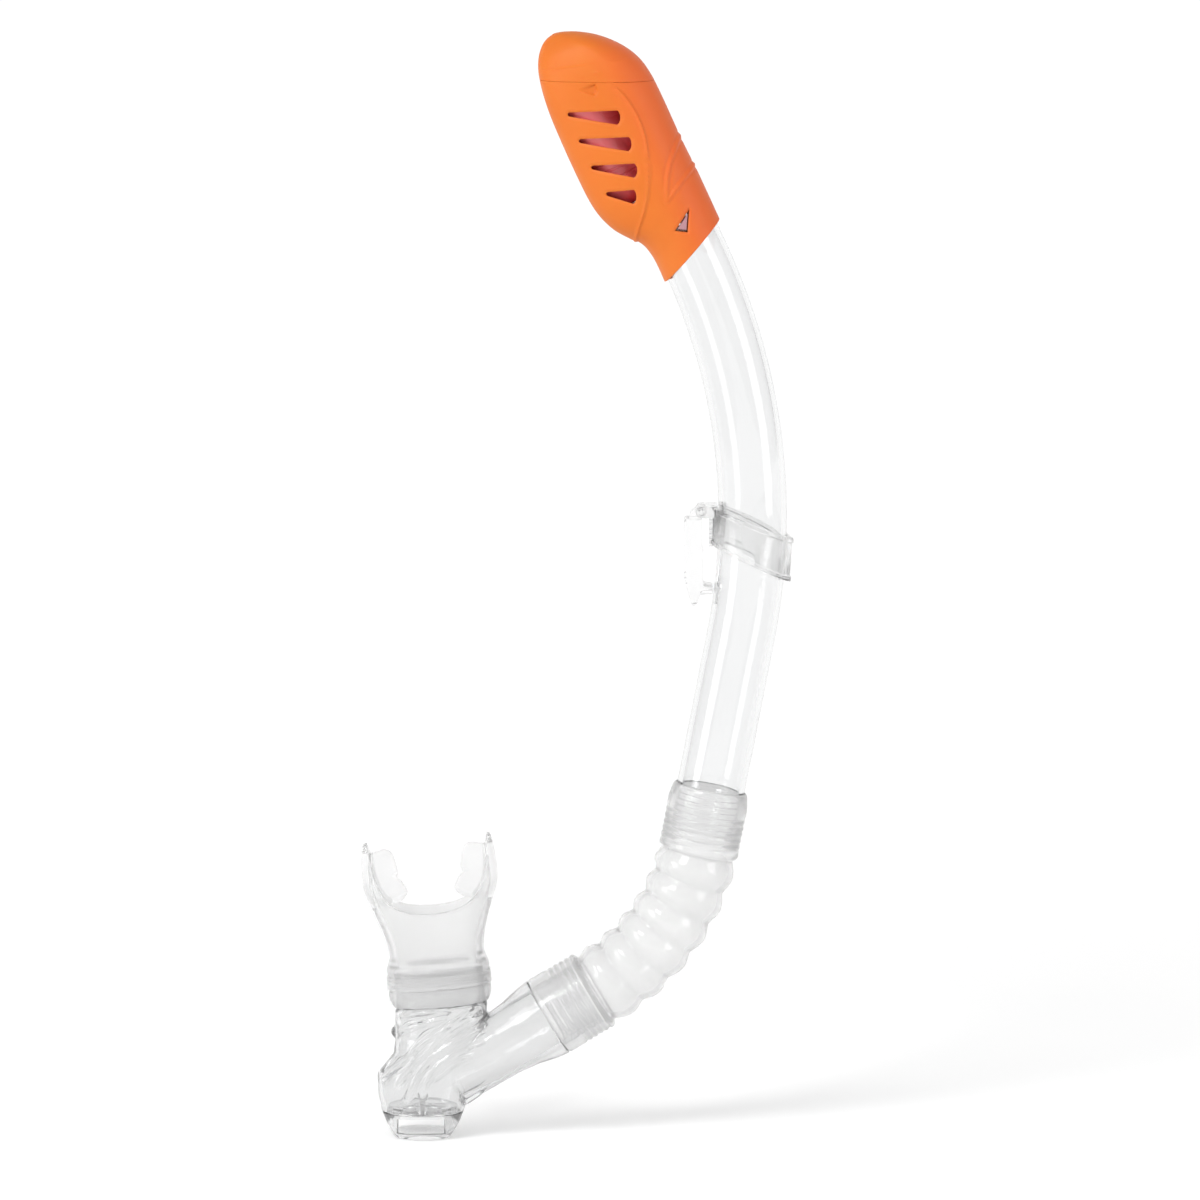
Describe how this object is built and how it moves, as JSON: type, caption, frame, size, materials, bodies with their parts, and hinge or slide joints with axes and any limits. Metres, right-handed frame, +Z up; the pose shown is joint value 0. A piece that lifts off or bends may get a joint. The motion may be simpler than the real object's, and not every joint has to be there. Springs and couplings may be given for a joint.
{
  "type": "snorkel tube",
  "caption": "Dry-top snorkel: clear curved tube, slotted float-valve cap, corrugated hose, purge elbow and soft mouthpiece, with a sliding strap keeper.",
  "frame": {"origin": "middle of the strap hook's inner face, where the mask strap bears", "axes": "+Z up along the tube, -X towards the mouthpiece, +Y across the snorkel to its right-hand side when worn on the left of a mask"},
  "size_m": [0.1592, 0.032, 0.409],
  "materials": {
    "clear_plastic": "clear polished moulding",
    "milky_silicone": "milky satin silicone",
    "clear_silicone": "clear soft silicone",
    "orange_plastic": "satin moulded orange",
    "crimson_plastic": "semi-gloss moulded dark red",
    "seal_rubber": "satin seal silicone"
  },
  "bodies": {
    "snorkel_tube": {"tube": "clear_plastic", "cap_body": "orange_plastic", "cap_dome": "orange_plastic", "valve_carrier": "crimson_plastic", "neck_o_ring": "seal_rubber"},
    "float_block": {"float": "crimson_plastic", "float_seal": "seal_rubber"},
    "keeper": {"keeper_ring": "clear_plastic", "keeper_pin": "clear_plastic"},
    "hook": {"keeper_hook": "clear_plastic"},
    "hose": {"flex_hose": "milky_silicone"},
    "elbow_group": {"elbow": "clear_plastic", "purge_seat": "clear_plastic", "purge_cover": "clear_plastic", "mouthpiece": "clear_silicone", "mouthpiece_tie": "clear_plastic"},
    "purge_flap": {"purge_valve": "clear_silicone"}
  },
  "joints": [
    {"name": "float_slide", "type": "slide", "parent": "snorkel_tube", "child": "float_block", "axis": [-0.4147, 0, 0.91], "range_m": [0, 0.0077]},
    {"name": "keeper_slide", "type": "hinge", "parent": "snorkel_tube", "child": "keeper", "pos_m": [-0.2093, 0, 0.0183], "axis": [0, -1, 0], "range_deg": [-8, 21]},
    {"name": "hook_open", "type": "hinge", "parent": "keeper", "child": "hook", "pos_m": [-0.0008, 0, 0.0209], "axis": [0, 1, 0], "range_deg": [0, 80]},
    {"name": "hose_twist", "type": "hinge", "parent": "snorkel_tube", "child": "hose", "pos_m": [-0.00123, 0, -0.10354], "axis": [0.1908, 0, 0.9816], "range_deg": [-90, 90]},
    {"name": "hose_flex", "type": "hinge", "parent": "hose", "child": "elbow_group", "pos_m": [-0.01406, 0, -0.13378], "axis": [0, 1, 0], "range_deg": [-30, 25], "stiffness_Nm_per_rad": 0.2, "springref_deg": 11.46, "deforming": ["flex_hose"]},
    {"name": "purge_lift", "type": "slide", "parent": "elbow_group", "child": "purge_flap", "axis": [0, 0, -1], "range_m": [0, 0.0015], "stiffness_N_per_m": 20, "springref_m": -0.0005}
  ]
}
